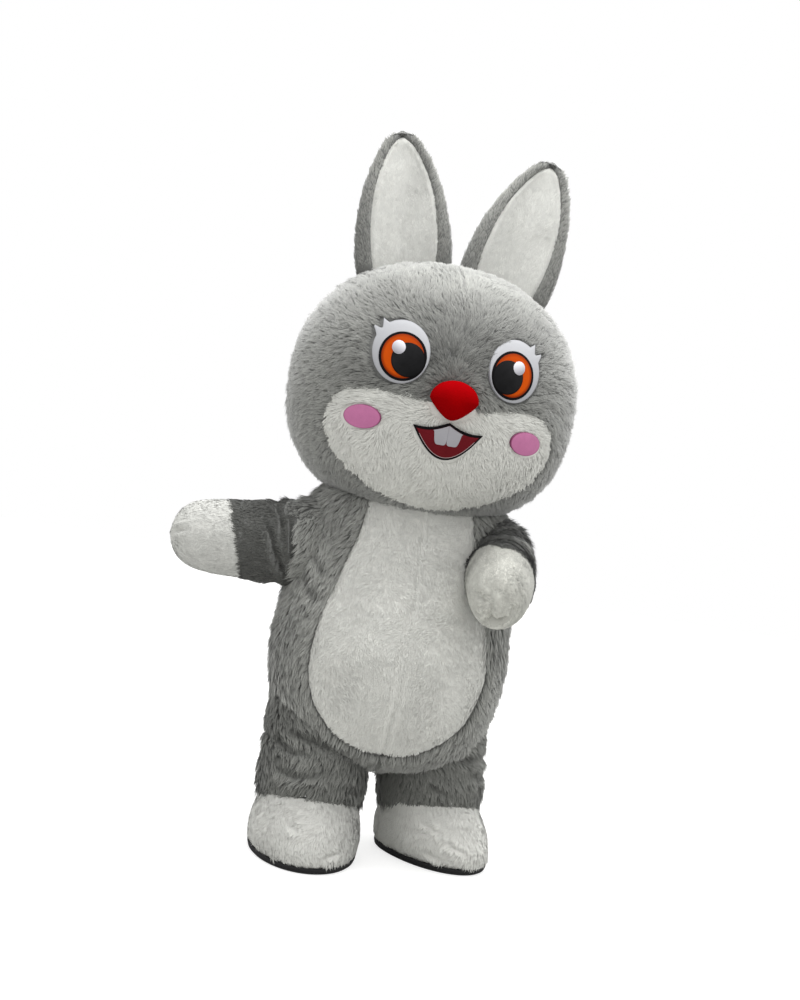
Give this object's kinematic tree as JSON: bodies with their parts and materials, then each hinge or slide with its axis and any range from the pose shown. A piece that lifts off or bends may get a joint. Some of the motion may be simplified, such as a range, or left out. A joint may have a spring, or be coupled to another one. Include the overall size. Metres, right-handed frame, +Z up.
{
  "type": "rabbit mascot costume",
  "caption": "Hollow fur rabbit mascot costume with a ball head, upright ears, mitts and soled feet, standing with one arm raised.",
  "frame": {"origin": "middle of the neck opening, at the height of the wearer's shoulders", "axes": "+Z up the costume towards the ears, -Y the way the face looks, +X towards the wearer's left"},
  "size_m": [1.0922, 0.8868, 2.0769],
  "materials": {
    "grey_fur": "long grey pile, worn in loose tufts",
    "white_fur": "off-white pile, short on the belly and mitts, long on the feet",
    "ear_plush": "short brushed white plush",
    "sole_rubber": "matt",
    "eye_white": "satin",
    "line_black": "satin",
    "iris_orange": "satin, shaded from orange to yellow",
    "pupil_black": "smoked see-through mesh",
    "nose_red": "velvet",
    "mouth_red": "matt",
    "tooth_white": "matt",
    "cheek_pink": "matt felt",
    "zip_grey": "woven tape over a coil zip"
  },
  "bodies": {
    "root": {"back_zip": "zip_grey", "belly_left": "white_fur", "belly_right": "white_fur", "body_back_left": "grey_fur", "body_back_right": "grey_fur", "body_front_left": "grey_fur", "body_front_right": "grey_fur", "cheek_left": "cheek_pink", "cheek_right": "cheek_pink", "ear_back_left": "grey_fur", "ear_back_right": "grey_fur", "ear_inner_left": "ear_plush", "ear_inner_right": "ear_plush", "eye_line_left": "line_black", "eye_line_right": "line_black", "eye_white_left": "eye_white", "eye_white_right": "eye_white", "foot_left": "white_fur", "foot_right": "white_fur", "glint_left": "eye_white", "glint_right": "eye_white", "head_back_left": "grey_fur", "head_back_right": "grey_fur", "head_front_left": "grey_fur", "head_front_right": "grey_fur", "iris_left": "iris_orange", "iris_right": "iris_orange", "leg_left": "grey_fur", "leg_right": "grey_fur", "mitt_left": "white_fur", "mitt_right": "white_fur", "mouth_inside": "mouth_red", "mouth_line": "line_black", "muzzle": "white_fur", "nose": "nose_red", "pupil_left": "pupil_black", "pupil_right": "pupil_black", "sleeve_left": "grey_fur", "sleeve_right": "grey_fur", "sole_left": "sole_rubber", "sole_right": "sole_rubber", "tooth_left": "tooth_white", "tooth_right": "tooth_white"}
  },
  "joints": []
}
